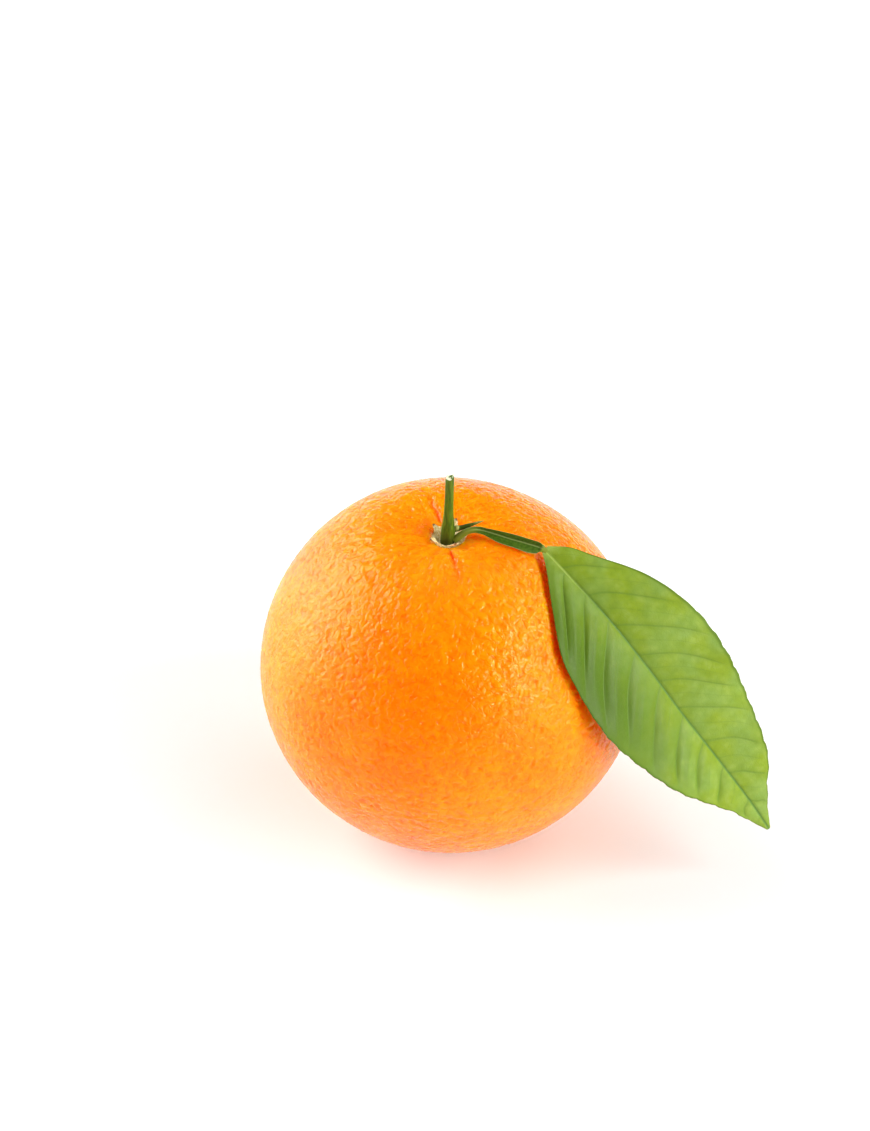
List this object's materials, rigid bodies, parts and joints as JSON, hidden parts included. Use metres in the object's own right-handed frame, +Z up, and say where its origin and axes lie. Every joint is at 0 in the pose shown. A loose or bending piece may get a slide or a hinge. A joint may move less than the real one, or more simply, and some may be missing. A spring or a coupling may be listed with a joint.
{
  "type": "orange",
  "caption": "Whole ripe orange that stands on its flat spot, with its calyx, a cut green stem with a thorn, a winged leaf stalk and a hanging leaf.",
  "frame": {"origin": "middle of the flat spot that the fruit rests on, at its blossom end", "axes": "+Z up along the fruit's axis to the stem, +X towards the side where the leaf hangs, -Y the side that shows the leaf's face"},
  "size_m": [0.1073, 0.0799, 0.0909],
  "materials": {
    "rind": "pebbled orange rind with a soft waxy sheen",
    "calyx": "dry, matte, cream at the rim",
    "bark": "green bark with brownish streaks, pale at the cut",
    "stalk": "dark green, satin",
    "leaf": "mid green, satin upper face with paler veins, matte back"
  },
  "bodies": {
    "root": {"fruit": "rind", "calyx": "calyx", "stem": "bark", "leaf_stalk": "stalk", "leaf": "leaf"}
  },
  "joints": []
}
